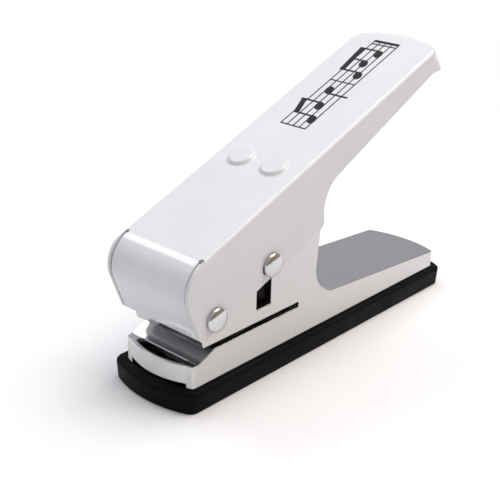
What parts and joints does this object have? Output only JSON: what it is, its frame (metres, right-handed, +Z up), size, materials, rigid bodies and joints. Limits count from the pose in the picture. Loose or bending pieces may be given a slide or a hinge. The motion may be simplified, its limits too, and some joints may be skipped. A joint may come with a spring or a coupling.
{
  "type": "guitar pick punch",
  "caption": "Hand-lever punch that cuts plectrums from plastic strip: plated casting with a throat, white folded-sheet handle, pinned lever, punch, die and soft catch tray.",
  "frame": {"origin": "on the surface that the tool stands on, straight under the punch's axis", "axes": "+X across the tool, +Y along it towards the handle's free end, +Z up"},
  "size_m": [0.0402, 0.1426, 0.0954],
  "materials": {
    "chrome_plate": "polished chrome plate on a zinc casting",
    "white_enamel": "smooth gloss white enamel on folded sheet steel",
    "black_rubber": "soft moulded, satin",
    "tool_steel": "hardened and ground",
    "black_oxide_steel": "black oxide, oiled",
    "spring_steel": "drawn wire",
    "zinc_plated_steel": "bright zinc plate",
    "nylon": "natural, cut from rod"
  },
  "bodies": {
    "tray": {"base_tray": "black_rubber"},
    "frame": {"frame_casting": "chrome_plate", "die_plate": "tool_steel", "die_screw_1": "zinc_plated_steel", "die_screw_2": "zinc_plated_steel", "die_screw_3": "zinc_plated_steel", "die_screw_4": "zinc_plated_steel", "pivot_pin": "chrome_plate", "pivot_pin_cap": "chrome_plate", "pivot_spacer_left": "nylon", "pivot_spacer_right": "nylon", "spring_post_left": "zinc_plated_steel", "spring_post_right": "zinc_plated_steel", "return_spring_left": "spring_steel", "return_spring_right": "spring_steel"},
    "handle": {"handle": "white_enamel"},
    "punch": {"punch_head": "tool_steel", "punch_yoke": "black_oxide_steel", "punch_screw_1": "zinc_plated_steel", "punch_screw_2": "zinc_plated_steel", "driver_pin": "chrome_plate", "driver_pin_cap": "chrome_plate", "driver_spacer_left": "nylon", "driver_spacer_right": "nylon"}
  },
  "joints": [
    {"name": "frame_lift", "type": "slide", "parent": "tray", "child": "frame", "axis": [0, 0, 1], "range_m": [0, 0.02]},
    {"name": "handle_hinge", "type": "hinge", "parent": "frame", "child": "handle", "pos_m": [0, -0.0248, 0.0297], "axis": [-1, 0, 0], "range_deg": [0, 21.92], "stiffness_Nm_per_rad": 3, "springref_deg": -11.46, "deforming": ["return_spring_left", "return_spring_right"]},
    {"name": "punch_slide", "type": "slide", "parent": "frame", "child": "punch", "axis": [0, 0, -1], "range_m": [0, 0.0102]}
  ],
  "couplings": [
    {"joint": "punch_slide", "follows": "handle_hinge", "m_per_rad": 0.02614}
  ]
}
